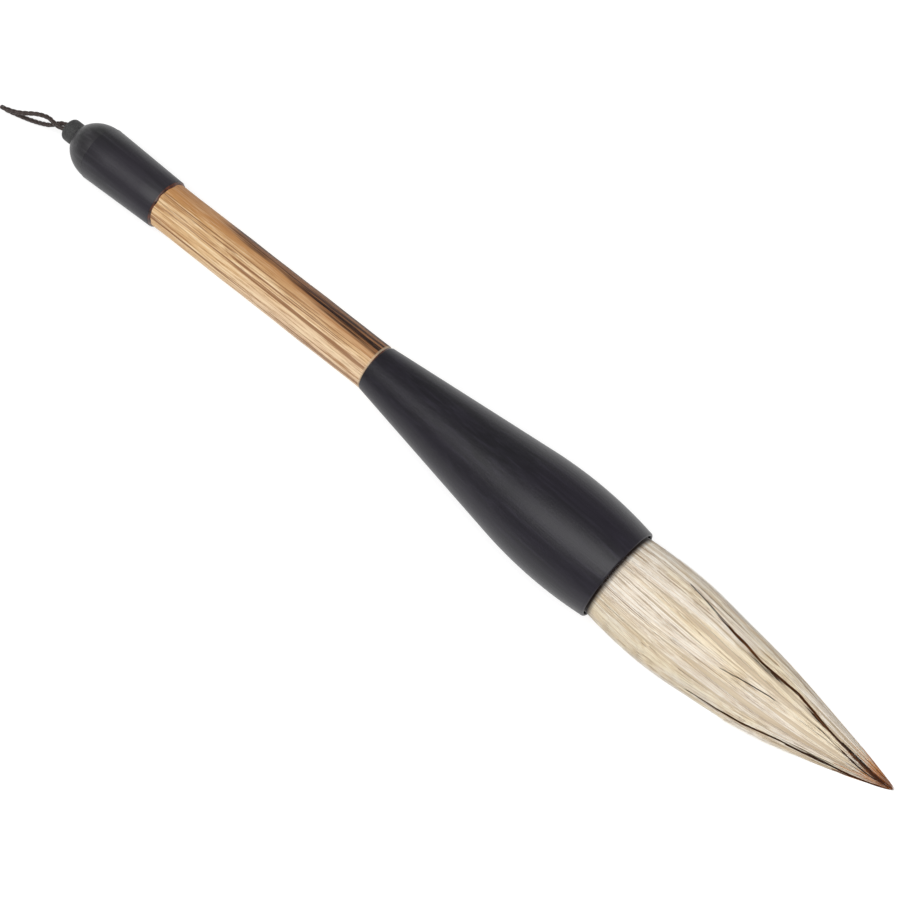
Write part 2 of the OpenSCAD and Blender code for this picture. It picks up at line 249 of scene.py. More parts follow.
# The button: a short plug of grey horn turned with a rounded top, left rough from the tool, with
# the cord's hole down its middle and a peg that is glued into the crown.
button_base, button_tip, peg_end = -110.172, -114.372, -105.672
button_round, button_edge, peg_round, cord_hole = 3.4, 1.1, 2.3, 1.6


def turned(name, outline, place, sides=96, soften=0.0):
    """A piece turned on a lathe. The outline is of (distance, radius) in millimetres, run round the
    section so that the outside faces out. It closes at the axis, or on itself for a bored piece."""
    bpy.ops.object.select_all(action="DESELECT")
    along, radius = outline[0]
    least = 1e-3
    bpy.ops.mesh.primitive_circle_add(vertices=sides, radius=max(radius, least) * mm,
                                      location=(0, 0, along * mm))
    piece = bpy.context.object
    piece.name = piece.data.name = name
    bpy.ops.object.transform_apply(location=True)
    bpy.ops.object.mode_set(mode="EDIT")
    bpy.ops.mesh.select_all(action="SELECT")
    for (x0, r0), (x1, r1) in zip(outline, outline[1:]):
        bpy.ops.mesh.extrude_region_move(
            TRANSFORM_OT_translate={"value": (0, 0, (x1 - x0) * mm)})
        grow = max(r1, least) / max(r0, least)
        bpy.ops.transform.resize(value=(grow, grow, 1), center_override=(0, 0, 0))
    bpy.ops.mesh.select_all(action="SELECT")
    bpy.ops.mesh.remove_doubles(threshold=3e-6)
    bpy.ops.mesh.normals_make_consistent(inside=False)
    bpy.ops.object.mode_set(mode="OBJECT")
    piece.matrix_world = place @ Matrix.Rotation(math.pi / 2, 4, "Y")
    bpy.ops.object.transform_apply(location=True, rotation=True, scale=True)
    if soften:
        edge = piece.modifiers.new("softened_edges", "BEVEL")
        edge.width, edge.segments, edge.limit_method = soften * mm, 2, "ANGLE"
        edge.angle_limit = math.radians(38)
        bpy.ops.object.modifier_apply(modifier=edge.name)
    bpy.ops.object.shade_smooth_by_angle(angle=math.radians(32))
    return piece


button_top = [(button_tip + button_edge * (1 - math.sin(math.radians(a))),
               button_round - button_edge * (1 - math.cos(math.radians(a))))
              for a in range(0, 91, 15)]
button = turned("button", [
    (button_base, button_round), (-111.2, button_round), (-112.2, button_round), *button_top,
    (button_tip, 1.85), (button_tip + 0.122, 1.65), (button_tip + 0.472, cord_hole),
    (peg_end, cord_hole), (peg_end, peg_round), (button_base, peg_round),
    (button_base, button_round)], shaft_place)
grey_horn, shader = new_finish("rough_grey_horn", 0.62, Specular_IOR_Level=0.4)
where = add(grey_horn, "TexCoord").outputs["Object"]
grit = speckle(grey_horn, where, 2600, 5, 0.7)
cloud = speckle(grey_horn, where, 420, 3)
turning = speckle(grey_horn, laid_along(grey_horn, shaft_place, (9000, 300, 300)), 1.0, 2)
grey = shades(grey_horn, grit, [(0.34, (0.016, 0.016, 0.016)), (0.52, (0.040, 0.040, 0.039)),
                                (0.70, (0.100, 0.098, 0.094))])
grey_horn.links.new(blended(grey_horn, sums(grey_horn, "MULTIPLY", cloud, 0.5), grey,
                            (0.045, 0.046, 0.048, 1)), shader.inputs["Base Color"])
grey_horn.links.new(shades(grey_horn, cloud, [(0.3, 0.5), (0.7, 0.75)]), shader.inputs["Roughness"])
rough_up(grey_horn, shader, sums(grey_horn, "ADD", grit, sums(grey_horn, "MULTIPLY", turning, 0.5)),
         0.09 * mm)
button.data.materials.append(bpy.data.materials["rough_grey_horn"])
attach(button, "root")
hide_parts("finial")

# The cap is black horn in two pieces. The crown is a dome with a spigot, bored for the knot, and
# its edge stands a hair inside the shoulder of the sleeve, so the joint shows as a fine step.
crown_seam, crown_reach, crown_round = -101.472, 9.585, 8.1
spigot_end, spigot_round = -96.472, 5.95
pocket_end, pocket_round, glue_gap = -103.772, 3.85, 0.05
crown_dome = [(crown_seam - x, crown_round * math.sqrt(1 - (x / crown_reach) ** 2))
              for x in (0.12, 0.5, 1, 1.6, 2.2, 2.9, 3.6, 4.3, 5, 5.7, 6.4, 7, 7.5, 8, 8.4, 8.7)]
crown = turned("crown", [
    (spigot_end, pocket_round), (spigot_end, spigot_round), (crown_seam, spigot_round),
    (crown_seam, crown_round - 0.12), *crown_dome, (button_base, peg_round + glue_gap),
    (peg_end + glue_gap, peg_round + glue_gap), (peg_end + glue_gap, cord_hole),
    (pocket_end, cord_hole), (pocket_end, pocket_round), (spigot_end, pocket_round)],
    shaft_place, 112)


def black_horn_finish(name, place, tint, rub):
    """Horn dyed black: faint lengthwise fibre, cloudy polish, hairline scratches round it."""
    horn, shader = new_finish(name, 0.36, Specular_IOR_Level=0.36)
    fibre = speckle(horn, laid_along(horn, place, (18, 900, 900)), 1.0, 5, 0.65, 0.3)
    cloud = speckle(horn, laid_along(horn, place, (30, 60, 60)), 1.0, 3, 0.55)
    lathe = speckle(horn, laid_along(horn, place, (5200, 60, 60)), 1.0, 3, 0.7)
    base = shades(horn, fibre, [(0.36, tuple(c * 0.6 for c in tint)), (0.52, tint),
                                (0.66, tuple(c * 1.8 for c in tint))])
    violet = shades(horn, cloud, [(0.42, 0.0), (0.66, 0.5)])
    horn.links.new(blended(horn, violet, base, (tint[0] * 1.35, tint[1] * 1.1, tint[2] * 1.45, 1)),
                   shader.inputs["Base Color"])
    worn = sums(horn, "ADD", sums(horn, "MULTIPLY", cloud, 0.14),
                sums(horn, "MULTIPLY", fibre, 0.16))
    horn.links.new(sums(horn, "ADD", worn, rub), shader.inputs["Roughness"])
    speck = speckle(horn, add(horn, "TexCoord").outputs["Object"], 1500, 4, 0.7)
    relief = sums(horn, "ADD", sums(horn, "MULTIPLY", fibre, 0.8), sums(horn, "MULTIPLY", lathe, 0.3))
    relief = sums(horn, "ADD", relief, sums(horn, "MULTIPLY", speck, 0.5))
    rough_up(horn, shader, relief, 0.06 * mm)
    return bpy.data.materials[name]


crown.data.materials.append(black_horn_finish("black_horn_crown", shaft_place,
                                              (0.028, 0.028, 0.029), 0.24))
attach(crown, "root")
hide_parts("cap_crown")

# The sleeve is a slightly tapered tube of the same horn. It is bored in three steps, for the
# crown's spigot, for the shaft's tenon and for the last three millimetres of the full shaft.
cap_mouth, mouth_round, seam_round = -76.872, 7.5, 8.25
shaft_bore, tenon_bore, bore_step = 6.95, 4.85, -79.922
sleeve_skin = [(x, mouth_round + (seam_round - mouth_round) * (x - cap_mouth)
                / (crown_seam - cap_mouth)) for x in (cap_mouth, -83, -89, -95, crown_seam)]
sleeve = turned("sleeve", [
    (cap_mouth, shaft_bore), *sleeve_skin, (crown_seam, spigot_round + glue_gap),
    (spigot_end + glue_gap, spigot_round + glue_gap), (spigot_end + glue_gap, tenon_bore),
    (bore_step, tenon_bore), (bore_step, shaft_bore), (cap_mouth, shaft_bore)],
    shaft_place, 112, soften=0.09)
sleeve.data.materials.append(black_horn_finish("black_horn_sleeve", shaft_place,
                                               (0.018, 0.0175, 0.0208), 0.26))
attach(sleeve, "root")
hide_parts("cap_sleeve")

# Where the shaft enters the sleeve, a thin bead of hide glue has been squeezed out and has dried
# dark red-brown, thicker on one side than on the other.
bead_outline = [(0, 6.92), (0.75, 6.9), (0.712, 7.00), (0.572, 7.13), (0.372, 7.24),
                (0.172, 7.32), (0, 7.36), (0, 6.92)]
glue_bead = turned("cap_glue_bead", [(cap_mouth + x, r) for x, r in bead_outline], shaft_place, 160)
inwards = shaft_place.inverted()
for vertex in glue_bead.data.vertices:
    local = inwards @ vertex.co
    angle = math.atan2(local.z, local.y)
    swell = 0.9 + 0.2 * math.sin(angle * 2 + 0.6) + 0.16 * math.sin(angle * 7) \
        + 0.1 * math.sin(angle * 13 + 1)
    if local.x > (cap_mouth + 0.012) * mm:
        local.x = (cap_mouth + (local.x / mm - cap_mouth) * max(0.35, swell)) * mm
        vertex.co = shaft_place @ local
dark_glue, shader = new_finish("dried_hide_glue", 0.3, Specular_IOR_Level=0.5)
where = add(dark_glue, "TexCoord").outputs["Object"]
lump = speckle(dark_glue, where, 700, 3)
dark_glue.links.new(shades(dark_glue, lump, [(0.35, (0.020, 0.006, 0.003)),
                                             (0.7, (0.120, 0.030, 0.013))]),
                    shader.inputs["Base Color"])
dark_glue.links.new(shades(dark_glue, lump, [(0.3, 0.2), (0.7, 0.5)]), shader.inputs["Roughness"])
rough_up(dark_glue, shader, lump, 0.1 * mm)
glue_bead.data.materials.append(bpy.data.materials["dried_hide_glue"])
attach(glue_bead, "root")
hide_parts("cap_glue")

# The shaft: a straight-grained stick turned and rubbed down, with a tenon at each end. One side was
# scorched over a flame towards the ferrule, which left brown and black streaks between pale ones.
shaft_round, cap_tenon, neck_tenon, shaft_edge, tenon_edge = 6.9, 4.8, 4.5, 0.35, 0.3
shaft_start, cap_tenon_end, shaft_stop, neck_tenon_end = -79.872, -89.872, -0.372, 22
hand_turned = [(x, shaft_round + 0.03 * math.sin(x * 0.21) + 0.02 * math.sin(x * 0.47))
               for x in range(-78, -1, 4)]
shaft = turned("shaft_wood", [
    (cap_tenon_end, 0), (cap_tenon_end, cap_tenon - tenon_edge),
    (cap_tenon_end + tenon_edge, cap_tenon), (shaft_start, cap_tenon),
    (shaft_start, shaft_round - shaft_edge), (shaft_start + shaft_edge, shaft_round),
    *hand_turned, (shaft_stop - shaft_edge, shaft_round), (shaft_stop, shaft_round - shaft_edge),
    (shaft_stop, neck_tenon), (neck_tenon_end - tenon_edge, neck_tenon),
    (neck_tenon_end, neck_tenon - tenon_edge), (neck_tenon_end, 0)], shaft_place, 128)
shaft_wood, shader = new_finish("scorched_wood", 0.5, Specular_IOR_Level=0.25)
broad = speckle(shaft_wood, laid_along(shaft_wood, shaft_place, (22, 150, 150)), 1.0, 3, 0.55, 0.6)
grain = speckle(shaft_wood, laid_along(shaft_wood, shaft_place, (60, 1900, 1900)), 1.0, 5, 0.7, 0.3)
line = speckle(shaft_wood, laid_along(shaft_wood, shaft_place, (17, 1250, 1250)), 1.0, 4, 0.6, 0.5)
pore = speckle(shaft_wood, laid_along(shaft_wood, shaft_place, (160, 4200, 4200)), 1.0, 2, 0.6)
inside = add(shaft_wood, "SeparateXYZ",
             {0: laid_along(shaft_wood, shaft_place, (1, 1, 1))}).outputs
# Golden towards the cap and on the far side, pale and pinkish on the near side and towards the hair
near_side = add(shaft_wood, "MapRange", {"Value": inside[1], "From Min": 5 * mm,
                                         "From Max": -5 * mm}).outputs[0]
hairwards = add(shaft_wood, "MapRange", {"Value": inside[0], "From Min": -76 * mm,
                                         "From Max": -20 * mm}).outputs[0]
paleness = sums(shaft_wood, "ADD", sums(shaft_wood, "MULTIPLY", near_side, 0.30),
                sums(shaft_wood, "MULTIPLY", hairwards, 0.22))
paleness = sums(shaft_wood, "ADD", paleness, sums(shaft_wood, "MULTIPLY", broad, 0.75))
wood = shades(shaft_wood, paleness, [(0.36, (0.48, 0.225, 0.075)), (0.52, (0.58, 0.32, 0.125)),
                                     (0.66, (0.67, 0.44, 0.225)), (0.84, (0.73, 0.53, 0.34))])
wood = blended(shaft_wood, shades(shaft_wood, grain, [(0.38, 0.85), (0.49, 0.0)]), wood,
               (0.33, 0.15, 0.055, 1))
wood = blended(shaft_wood, shades(shaft_wood, grain, [(0.52, 0.0), (0.64, 0.8)]), wood,
               (0.86, 0.68, 0.44, 1))
wood = blended(shaft_wood, shades(shaft_wood, line, [(0.40, 0.85), (0.45, 0.0)]), wood,
               (0.24, 0.105, 0.042, 1))
wood = blended(shaft_wood, shades(shaft_wood, pore, [(0.30, 0.6), (0.40, 0.0)]), wood,
               (0.22, 0.10, 0.045, 1))
# How far a place is towards the scorched side, and how far along towards the ferrule
across = sums(shaft_wood, "ADD",
              sums(shaft_wood, "MULTIPLY", inside[1], 0.866 / (shaft_round * mm)),
              sums(shaft_wood, "MULTIPLY", inside[2], 0.50 / (shaft_round * mm)))
along = add(shaft_wood, "MapRange", {"Value": inside[0], "From Min": -60 * mm,
                                     "From Max": -2 * mm}).outputs[0]
reach = sums(shaft_wood, "ADD", across, sums(shaft_wood, "MULTIPLY", along, 0.30))
reach = sums(shaft_wood, "ADD", reach, sums(shaft_wood, "MULTIPLY", broad, 0.36))
scorch = add(shaft_wood, "MapRange", {"Value": reach, "From Min": 1.05,
                                      "From Max": 1.17}).outputs[0]
scorch = sums(shaft_wood, "MULTIPLY", scorch, shades(shaft_wood, along, [(0.0, 0.0), (0.12, 1.0)]))
streak = shades(shaft_wood, line, [(0.47, 1.0), (0.55, 0.08)])
char = shades(shaft_wood, grain, [(0.44, (0.006, 0.003, 0.002)), (0.60, (0.060, 0.020, 0.009))])
tan = shades(shaft_wood, reach, [(0.70, 0.0), (0.98, 0.62)])
wood = blended(shaft_wood, tan, wood, (0.46, 0.215, 0.08, 1))
wood = blended(shaft_wood, sums(shaft_wood, "MULTIPLY", scorch, 0.8), wood, (0.24, 0.095, 0.036, 1))
burnt = blended(shaft_wood, sums(shaft_wood, "MULTIPLY", scorch, streak), wood, char)
# The chamfer at the shaft's shoulder is painted pale: a painted highlight where its bevel catches the
# light
chamfer_highlight = add(shaft_wood, "MapRange", {"Value": inside[0], "From Min": -0.95 * mm,
                                       "From Max": -0.62 * mm, "To Max": 0.5}).outputs[0]
burnt = blended(shaft_wood, chamfer_highlight, burnt, (0.74, 0.58, 0.40, 1))
shaft_wood.links.new(burnt, shader.inputs["Base Color"])
shaft_wood.links.new(shades(shaft_wood, grain, [(0.35, 0.65), (0.65, 0.42)]),
                     shader.inputs["Roughness"])
rough_up(shaft_wood, shader, sums(shaft_wood, "ADD", grain, sums(shaft_wood, "MULTIPLY", pore, 0.6)),
         0.09 * mm)
shaft.data.materials.append(bpy.data.materials["scorched_wood"])
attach(shaft, "root")
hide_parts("shaft")

# The shaft stands slightly crooked in the ferrule, and the wedge of space that this leaves at its
# shoulder is filled with the same dark glue.
neck_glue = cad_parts["ferrule_glue"]
neck_glue.data.materials.clear()
neck_glue.data.materials.append(bpy.data.materials["dried_hide_glue"])

# The ferrule is one long cone of black horn. It flares from the shaft to a full belly and draws in
# to a thin rounded rim. It is bored out to a cup for the hair and, from behind, for the tenon.
belly_x, belly_y, belly_round = 67.5, -105.05, 120.0
neck_round, neck_edge, lip_round, rim_x = 7.0, 0.12, 0.5, 84.8
cup_round, cup_floor, vent_round, socket_end = 12.963, 56.8, 2, 22.3
flare = math.asin(belly_round / math.hypot(belly_x, belly_y - neck_round)) \
    + math.atan2(belly_y - neck_round, belly_x)
lip_reach = belly_round - lip_round
rim_fall = math.asin((rim_x - lip_round - belly_x) / lip_reach)
lip_x, lip_y = belly_x + lip_reach * math.sin(rim_fall), belly_y + lip_reach * math.cos(rim_fall)
ferrule_skin = [(belly_x + belly_round * math.sin(a), belly_y + belly_round * math.cos(a))
                for a in (-flare + (rim_fall + flare) * i / 22 for i in range(23))]
ferrule_lip = [(lip_x + lip_round * math.sin(a), lip_y + lip_round * math.cos(a))
               for a in (rim_fall + (math.pi / 2 - rim_fall) * i / 5 for i in range(1, 6))]
flare_x, flare_round = ferrule_skin[0]
neck_cone = [(x, neck_round + (flare_round - neck_round) * x / flare_x)
             for x in (6, 14, 22) if x < flare_x - 1]
ferrule = turned("ferrule_horn", [
    (0, 0), (0, neck_round - neck_edge), (neck_edge, neck_round), *neck_cone, *ferrule_skin,
    *ferrule_lip, (rim_x - 0.05, 13.1), (rim_x - 0.25, cup_round), (70, cup_round),
    (cup_floor, cup_round), (cup_floor, vent_round), (socket_end, vent_round), (socket_end, 0)],
    ferrule_place, 144)
socket_deep, socket_past = 24.3, 2.0
bpy.ops.mesh.primitive_cylinder_add(vertices=64, radius=(neck_tenon + glue_gap) * mm,
                                    depth=socket_deep * mm)
socket = bpy.context.object
socket.matrix_world = shaft_place @ Matrix.Translation(((socket_deep / 2 - socket_past) * mm, 0, 0)) \
    @ Matrix.Rotation(math.pi / 2, 4, "Y")
bore = ferrule.modifiers.new("tenon_socket", "BOOLEAN")
bore.object, bore.operation, bore.solver = socket, "DIFFERENCE", "EXACT"
bpy.context.view_layer.objects.active = ferrule
bpy.ops.object.modifier_apply(modifier=bore.name)
bpy.data.objects.remove(socket)
bpy.ops.object.select_all(action="DESELECT")
ferrule.select_set(True)
bpy.ops.object.shade_smooth_by_angle(angle=math.radians(32))
ferrule.data.materials.append(black_horn_finish("black_horn_ferrule", ferrule_place,
                                                (0.0094, 0.0083, 0.0128), 0.24))
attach(ferrule, "root")
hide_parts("ferrule")

# Down in the cup, out of sight, the roots of the hair sit in a plug of amber resin and are bound
# with cotton thread. These keep their plain solids and get the finish of each.
amber_resin, shader = new_finish("amber_resin", 0.2, Specular_IOR_Level=0.5,
                                 Subsurface_Weight=0.2, Subsurface_Scale=0.002)
where = add(amber_resin, "TexCoord").outputs["Object"]
flow = speckle(amber_resin, where, 300, 3, 0.5, 1.0)
amber_resin.links.new(shades(amber_resin, flow, [(0.35, (0.16, 0.06, 0.012)),
                                                 (0.7, (0.42, 0.21, 0.06))]),
                      shader.inputs["Base Color"])
rough_up(amber_resin, shader, flow, 0.2 * mm)
binding_thread, shader = new_finish("binding_thread", 0.8, Sheen_Weight=0.3)
ply = speckle(binding_thread, laid_along(binding_thread, ferrule_place, (3000, 900, 900)), 1.0, 3)
binding_thread.links.new(shades(binding_thread, ply, [(0.35, (0.52, 0.45, 0.32)),
                                                      (0.65, (0.83, 0.77, 0.63))]),
                         shader.inputs["Base Color"])
rough_up(binding_thread, shader, ply, 0.1 * mm)
bound_roots, shader = new_finish("bound_roots", 0.6, Sheen_Weight=0.2)
root_hair = speckle(bound_roots, laid_along(bound_roots, ferrule_place, (20, 2600, 2600)), 1.0, 4)
bound_roots.links.new(shades(bound_roots, root_hair, [(0.3, (0.30, 0.21, 0.11)),
                                                      (0.6, (0.76, 0.66, 0.48))]),
                      shader.inputs["Base Color"])
rough_up(bound_roots, shader, root_hair, 0.15 * mm)
for node, finish in (("root_resin", "amber_resin"), ("root_thread", "binding_thread"),
                     ("root_bundle", "bound_roots")):
    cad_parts[node].data.materials.clear()
    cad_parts[node].data.materials.append(bpy.data.materials[finish])

# The tuft is three layers of hair, longest in the middle. The core is stiff brown hair, whose ends
# make the brush's point. Soft lining hair fills out the belly round it.
tuft_long, tuft_astray = 85.6, 4.4
tuft_side = smooth_route([(-14, 12.0), (-4, 12.05), (0, 12.25), (4, 12.8), (13, 13.25), (20, 13.2),
                          (26, 12.75), (33, 11.95), (43, 10.85), (52, 9.3), (62, 7.05),
                          (71, 4.75), (76, 3.35), (81, 1.8), (84, 0.8), (tuft_long, 0.12)], 0.5)


def tuft_radius(s):
    """Radius of the tuft at a distance from the ferrule's rim, in millimetres."""
    return np.interp(s, tuft_side[:, 0], tuft_side[:, 1])


def tuft_middle(s):
    """How far the middle of the tuft has wandered off the ferrule's axis."""
    return tuft_astray * (np.clip(s, 0, None) / tuft_long) ** 2.8


def hair_places(s, around, radius):
    """Points in the row frame from distance, angle round the tuft and radius, in millimetres."""
    local = np.stack([rim_x + s, tuft_middle(s) + radius * np.cos(around),
                      radius * np.sin(around)], axis=-1) * mm
    turn = np.array(ferrule_place)
    return local @ turn[:3, :3].T + turn[:3, 3]


# Where the hair parts, as (distance from the rim, angle round the tuft in degrees), with the
# widest opening in millimetres. The brown core shows in each.
partings = [
    ([(16, 55), (19, 57), (27, 61.5), (36.5, 66), (42, 71), (48, 68.5), (53.5, 64.5), (59.5, 69.5),
      (65, 77), (71.5, 83), (77.5, 93), (83, 110)], 0.56),
    ([(31, 165.5), (40, 163), (47.5, 161), (56.5, 153), (65.5, 152), (72.5, 156), (79.5, 166),
      (84, 180)], 0.34),
    ([(35, 110.5), (42, 104), (49, 99)], 0.10),
    ([(62, 88), (70, 96), (80, 118)], 0.14),
    ([(30, 228), (45, 236), (60, 241), (74, 236), (83, 240)], 0.3),
    ([(42, -52), (55, -44), (68, -47), (80, -40)], 0.26)]


def part_hair(s, around):
    """Pushes hair aside at the partings. Gives the new angles and how deep in a parting each is."""
    depth = np.zeros_like(s)
    for route, width in partings:
        path = np.array(route)
        middle = np.radians(np.interp(s, path[:, 0], path[:, 1]))
        fade = np.clip((s - path[0, 0]) / 8, 0, 1) * np.clip((path[-1, 0] + 2 - s) / 2, 0, 1)
        open_mm = width * fade * (0.7 + 0.3 * np.sin(s * 0.9 + path[0, 1]))
        gap = (around - middle + np.pi) % (2 * np.pi) - np.pi
        off = gap * tuft_radius(s)
        near = np.exp(-(off / 1.1) ** 2)
        around = around + np.sign(gap) * near * open_mm / np.maximum(tuft_radius(s), 0.3)
        depth = np.maximum(depth, np.exp(-(off / np.maximum(open_mm, 0.05)) ** 2) * fade)
    return around, depth


def combed_layer(name, outline, furrow, sides=192):
    """One layer of hair as a turned body, bent to the tuft's line and furrowed lengthwise."""
    layer = turned(name, outline, Matrix.Identity(4), sides)
    place = np.array([v.co for v in layer.data.vertices]) / mm
    s, radius = place[:, 0], np.hypot(place[:, 1], place[:, 2])
    around = np.arctan2(place[:, 2], place[:, 1])
    ridge = np.zeros_like(s)
    for waves, wander, share in ((23, 0.05, 0.2), (41, 0.08, 0.2), (67, 0.11, 0.3), (83, 0.03, 0.3)):
        ridge += share * np.sin(waves * (around + wander * np.sin(s / 11 + waves)) + waves)
    _, depth = part_hair(s, around)
    skin = tuft_radius(s)
    outer = np.clip((radius - skin * 0.8) / np.maximum(skin * 0.15, 0.05), 0, 1)
    radius = np.maximum(radius + np.clip(radius / 6, 0, 1) * furrow * ridge
                        - outer * depth * np.minimum(0.9, radius * 0.25), 0)
    layer.data.vertices.foreach_set("co", hair_places(s, around, radius).astype(np.float32).ravel())
    comb = layer.data.attributes.new("comb", "FLOAT_VECTOR", "POINT")
    comb.data.foreach_set("vector", np.stack([s / 10, np.cos(around) * 3, np.sin(around) * 3],
                                             axis=1).astype(np.float32).ravel())
    parted = layer.data.attributes.new("parted", "FLOAT", "POINT")
    parted.data.foreach_set("value", (outer * depth).astype(np.float32))
    layer.data.update()
    return layer


def hair_finish(name, stops, roughness):
    """Hair: streaks that run with the comb, darker in the partings, and a soft sheen."""
    hair, shader = new_finish(name, roughness, Sheen_Weight=0.15, Sheen_Roughness=0.4,
                              Specular_IOR_Level=0.35)
    comb = add(hair, "Attribute", attribute_name="comb").outputs["Vector"]
    fine = speckle(hair, add(hair, "Mapping", {"Vector": comb, "Scale": (0.5, 14, 14)}).outputs[0],
                   1.0, 4, 0.65, 0.3)
    broad = speckle(hair, add(hair, "Mapping", {"Vector": comb, "Scale": (0.25, 2, 2)}).outputs[0],
                    1.0, 3, 0.5)
    share = sums(hair, "ADD", sums(hair, "MULTIPLY", fine, 0.6), sums(hair, "MULTIPLY", broad, 0.4))
    colour = shades(hair, share, stops)
    parted = add(hair, "Attribute", attribute_name="parted").outputs["Fac"]
    colour = blended(hair, shades(hair, parted, [(0.25, 0.0), (0.7, 1.0)]), colour,
                     (0.060, 0.025, 0.012, 1))
    hair.links.new(colour, shader.inputs["Base Color"])
    rough_up(hair, shader, fine, 0.12 * mm)
    return bpy.data.materials[name]


def bends_with_tuft(piece, slot_name, *nodes):
    """Hides the CAD hair that the piece stands in for, if any, and bakes the piece's placement into
    its mesh.
    """
    if nodes:
        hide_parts(*nodes)
    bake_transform(piece)


def core_radius(s):
    """Radius of the core, which lies just under the tuft's skin near the point."""
    return min(4.6 * (1 - (max(s, 0) / 108) ** 2), max(float(tuft_radius(s)) - 0.28, 0.06))


def lining_radius(s):
    """Radius of the lining, which runs out before the tuft narrows."""
    return max(9.1 * (1 - (max(s, 0) / 59) ** 2), 0)


core = combed_layer("core_hair_body", [
    (-9, 0), (-9, 4.4), *[(s, core_radius(s)) for s in (-4, 0, 5, 10, 16, 22, 28, 34, 40, 46, 52, 57,
                                                       62, 66, 70, 73, 76, 78.5, 81, 83, 84.6)],
    (85.4, 0)], 0.06, 96)
core.data.materials.append(hair_finish("brown_core_hair", [
    (0.25, (0.030, 0.011, 0.005)), (0.5, (0.16, 0.060, 0.022)), (0.75, (0.40, 0.17, 0.06))], 0.5))
bends_with_tuft(core, "brown_hair", "core_hair")
lining = combed_layer("lining_hair_body", [
    (-9, 4.5), (-9, 8.9), *[(s, lining_radius(s)) for s in (-4, 0, 8, 16, 24, 30, 35)],
    (40, core_radius(40) + 0.35), (40.5, core_radius(40) + 0.1),
    *[(s, core_radius(s) + 0.1) for s in (34, 26, 18, 10, 2, -4)], (-9, 4.5)], 0.05, 96)
lining.data.materials.append(hair_finish("soft_lining_hair", [
    (0.25, (0.36, 0.24, 0.11)), (0.5, (0.58, 0.43, 0.24)), (0.75, (0.74, 0.61, 0.42))], 0.55))
bends_with_tuft(lining, "lining_hair", "lining_hair")

# The cover is long pale goat hair laid all round the lining. Its body is the mass of the hair, and
# the single hairs that can be seen are laid over it in locks, which run together to the point.
cover_inside = [(s, max(lining_radius(s) if s < 38 else 0, core_radius(s)) + 0.12)
                for s in (76, 70, 64, 58, 52, 46, 40, 34, 26, 18, 10, 2, -4)]
cover = combed_layer("cover_hair_body", [
    (-9, 9.1), (-9, 12.3), (-3, 12.4), *[(s, float(tuft_radius(s)) - 0.34) for s in
                                         [*range(0, 60, 2), *range(60, 78, 1)]],
    (79, float(tuft_radius(79)) - 0.3), (79.4, float(tuft_radius(79.4)) - 0.5),
    *cover_inside, (-9, 9.1)], 0.10, 256)
# Painted shade: the body has the pale hair's colours made darker than the single hairs over it, for
# the depth under them
cover.data.materials.append(hair_finish("pale_cover_body", [
    (0.30, (0.46, 0.35, 0.23)), (0.48, (0.60, 0.49, 0.35)), (0.66, (0.72, 0.62, 0.48))], 0.6))
bends_with_tuft(cover, "pale_hair", "cover_hair")

one_hair = turned("one_hair", [(0, 0), (0, 0.9), *[(t, (1 - 0.8 * t ** 4)) for t in
                                                   (0.12, 0.25, 0.38, 0.5, 0.62, 0.74, 0.86, 0.95)],
                               (1, 0)], Matrix.Identity(4), 3)
hair_points = np.array([v.co for v in one_hair.data.vertices]) / mm
hair_faces = [tuple(f.vertices) for f in one_hair.data.polygons]
bpy.data.objects.remove(one_hair)


def hair_mesh(name, middle, ahead, s, around, half, tone):
    """Single hairs, each a copy of one_hair laid on its own line. The line is given at the stops of
    one_hair and a little ahead of them, with the hair's half width and its tone."""
    way = ahead - middle
    way /= np.linalg.norm(way, axis=-1, keepdims=True)
    out = np.stack([np.zeros_like(around), np.cos(around), np.sin(around)], axis=-1)
    out -= way * np.sum(out * way, axis=-1, keepdims=True)
    out /= np.linalg.norm(out, axis=-1, keepdims=True)
    points = middle + (half * mm)[:, None, None] * (out * hair_points[None, :, 1:2]
                                                    + np.cross(way, out) * hair_points[None, :, 2:3])
    count, stride = s.shape
    mesh = bpy.data.meshes.new(name)
    faces = [tuple(v + i * stride for v in face) for i in range(count) for face in hair_faces]
    mesh.from_pydata(points.reshape(-1, 3).tolist(), [], faces)
    for label, value in (("tone", np.repeat(tone, stride)), ("out", s.ravel() / tuft_long)):
        mesh.attributes.new(label, "FLOAT", "POINT").data.foreach_set("value",
                                                                      value.astype(np.float32))
    mesh.shade_smooth()
    piece = bpy.data.objects.new(name, mesh)
    bpy.context.scene.collection.objects.link(piece)
    return piece


def lay_hairs(name, roots, ends, depth, width, tone, sway, seed, parting=True, starts=None):
    """Hairs run along the tuft: the angle of each root, how far out it ends, how deep it lies, its
    width, and its tone, which its finish reads. They gather in locks towards the point."""
    pick, locks = np.random.default_rng(seed), 27
    count, t = len(roots), hair_points[None, :, 0]
    starts = np.full(count, -2.5) if starts is None else starts
    lock = np.round(roots * locks / (2 * np.pi)) / locks * 2 * np.pi
    lock_phase = np.round(roots * locks / (2 * np.pi)) * 1.7
    wave, phase = pick.uniform(0.4, 1.4, count), pick.uniform(0, 6.3, count)

    def line(t):
        s = starts[:, None] + (ends - starts)[:, None] * t
        gather = 0.55 * np.clip(s / 70, 0, 1) ** 1.3
        around = roots[:, None] + (lock - roots)[:, None] * gather
        around = around + 0.06 * np.sin(s / 17 + lock_phase[:, None]) * np.clip(s / 30, 0, 1)
        around = around + sway * np.sin(s * wave[:, None] / 9 + phase[:, None])
        if parting:
            around, _ = part_hair(s, around)
        radius = tuft_radius(s)
        ridge = 0.16 * np.sin(9 * around) * np.clip(s / 25, 0, 1)
        lift = (ridge - depth[:, None]) * np.clip(radius / 4, 0.1, 1)
        return hair_places(s, around, np.maximum(radius + lift, 0.03)), s, around

    middle, s, around = line(t)
    return hair_mesh(name, middle, line(t + 0.004)[0], s, around, width / 2, tone)


